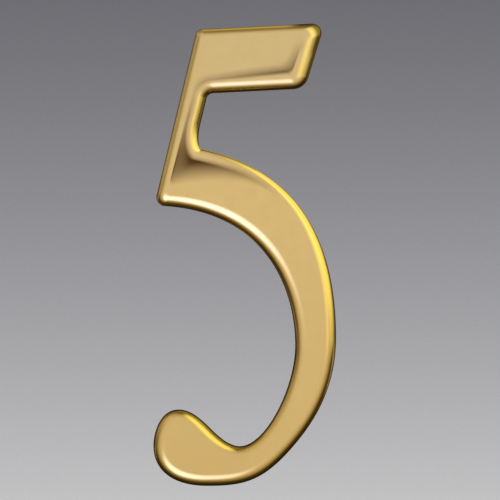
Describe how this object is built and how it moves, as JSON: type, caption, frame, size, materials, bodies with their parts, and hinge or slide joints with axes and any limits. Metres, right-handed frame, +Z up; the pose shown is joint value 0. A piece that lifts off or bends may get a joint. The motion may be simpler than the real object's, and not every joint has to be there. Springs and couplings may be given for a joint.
{
  "type": "door number",
  "caption": "Solid polished brass figure five for a house door, with a flat face, rolled shoulders of varied width and hidden stud fixing in its flat back.",
  "frame": {"origin": "midway between the two stud holes, on the flat back", "axes": "+X to the right and +Z up as the figure is read from the front, +Y out of the back towards the door; the front faces -Y"},
  "size_m": [0.0403, 0.006, 0.102],
  "materials": {
    "polished_brass": "polished"
  },
  "bodies": {
    "root": {"numeral": "polished_brass"}
  },
  "joints": []
}
